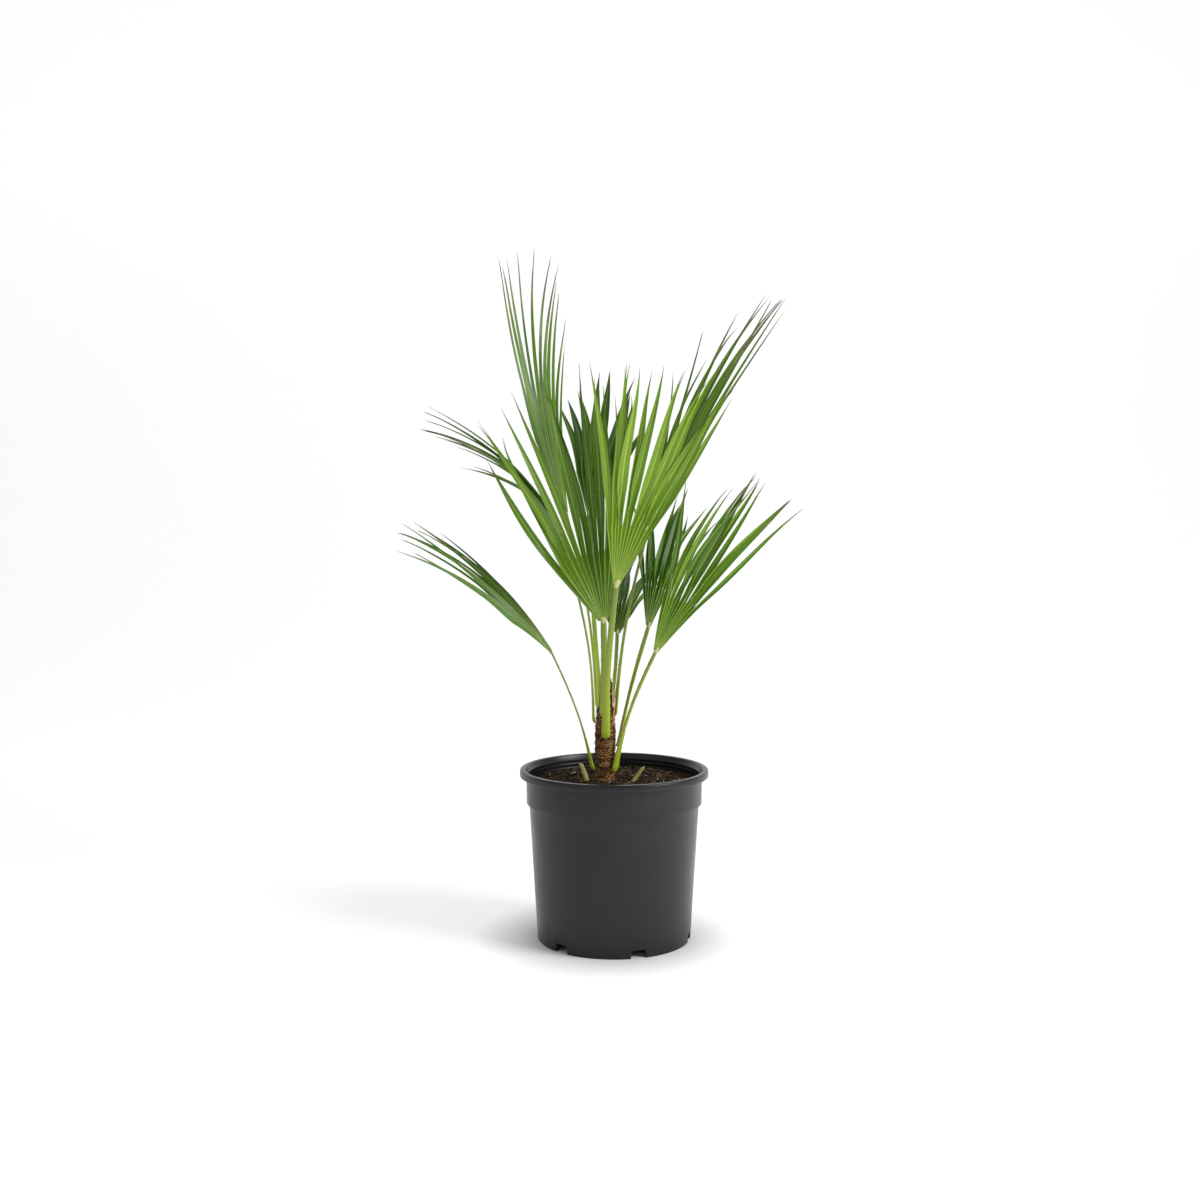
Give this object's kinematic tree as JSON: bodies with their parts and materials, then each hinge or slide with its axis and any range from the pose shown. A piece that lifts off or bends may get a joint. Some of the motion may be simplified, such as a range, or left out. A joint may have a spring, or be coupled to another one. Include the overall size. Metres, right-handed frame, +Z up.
{
  "type": "potted european fan palm",
  "caption": "Young clumping fan palm with a short fibrous trunk and slender-petioled palmate fronds, growing in a round black nursery pot filled with potting mix.",
  "frame": {"origin": "centre of the pot's flat underside, on the pot's axis", "axes": "+Z up along the pot's axis; the side seen in the picture faces -Y, with +X to the viewer's right"},
  "size_m": [0.4544, 0.3521, 0.7717],
  "materials": {
    "pot_plastic": "satin black moulded plastic",
    "potting_mix": "loose dark bark and peat mix",
    "trunk_fibre": "rough brown leaf-base fibre",
    "dry_stub": "dry straw-coloured cut stalk",
    "petiole_green": "smooth yellow-green stalk",
    "leaf_green": "satin mid-green leaf"
  },
  "bodies": {
    "root": {"pot": "pot_plastic", "soil": "potting_mix", "trunk": "trunk_fibre", "stub_left": "dry_stub", "stub_right": "dry_stub", "petiole_front_left": "petiole_green", "petiole_front_right": "petiole_green", "petiole_tall_left": "petiole_green", "petiole_back_left": "petiole_green", "petiole_arching_left": "petiole_green", "petiole_low_left": "petiole_green", "petiole_low_right": "petiole_green", "petiole_back_right": "petiole_green", "petiole_low_back": "petiole_green", "petiole_tall_right": "petiole_green", "fan_front_left": "leaf_green", "fan_front_right": "leaf_green", "fan_tall_left": "leaf_green", "fan_back_left": "leaf_green", "fan_arching_left": "leaf_green", "fan_low_left": "leaf_green", "fan_low_right": "leaf_green", "fan_back_right": "leaf_green", "fan_low_back": "leaf_green", "fan_tall_right": "leaf_green"}
  },
  "joints": []
}
